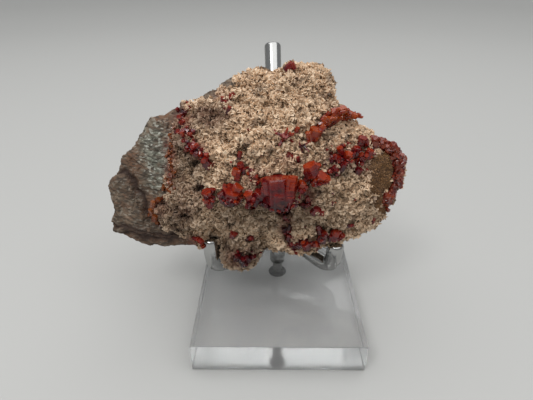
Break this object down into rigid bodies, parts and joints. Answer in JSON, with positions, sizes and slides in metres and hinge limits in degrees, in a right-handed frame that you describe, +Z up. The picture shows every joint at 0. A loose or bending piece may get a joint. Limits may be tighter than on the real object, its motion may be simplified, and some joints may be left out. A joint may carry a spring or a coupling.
{
  "type": "vanadinite on matrix",
  "caption": "Mineral specimen: red hexagonal vanadinite crystals on a druse-crusted rock, resting in a metal prong stand with a clear acrylic block.",
  "frame": {"origin": "centre of the flat underside of the acrylic block, which is the mount resting_face", "axes": "+Z up, +X to the right of someone who looks at the crystal face and along the part's longest side, -Y the side that the crystal face looks to"},
  "size_m": [0.0728, 0.0526, 0.0635],
  "materials": {
    "acrylic": "clear polished cast acrylic",
    "rod_steel": "smooth bright metal rod",
    "rock": "rough, sugary druse crust over greenish-grey host rock",
    "vanadinite": "glossy translucent red to orange crystal"
  },
  "bodies": {
    "root": {"base_block": "acrylic", "base_screw": "rod_steel", "post": "rod_steel", "left_prong": "rod_steel", "right_prong": "rod_steel", "matrix": "rock", "row_left_crystal": "vanadinite", "row_second_crystal": "vanadinite", "row_main_crystals": "vanadinite", "pair_crystals": "vanadinite", "wing_crystals": "vanadinite", "right_upper_crystals": "vanadinite", "over_row_crystals": "vanadinite", "left_pocket": "vanadinite", "lower_mid_crystals": "vanadinite", "prong_side_crystals": "vanadinite", "lobe_crystals": "vanadinite", "rim_crust": "vanadinite"}
  },
  "joints": []
}
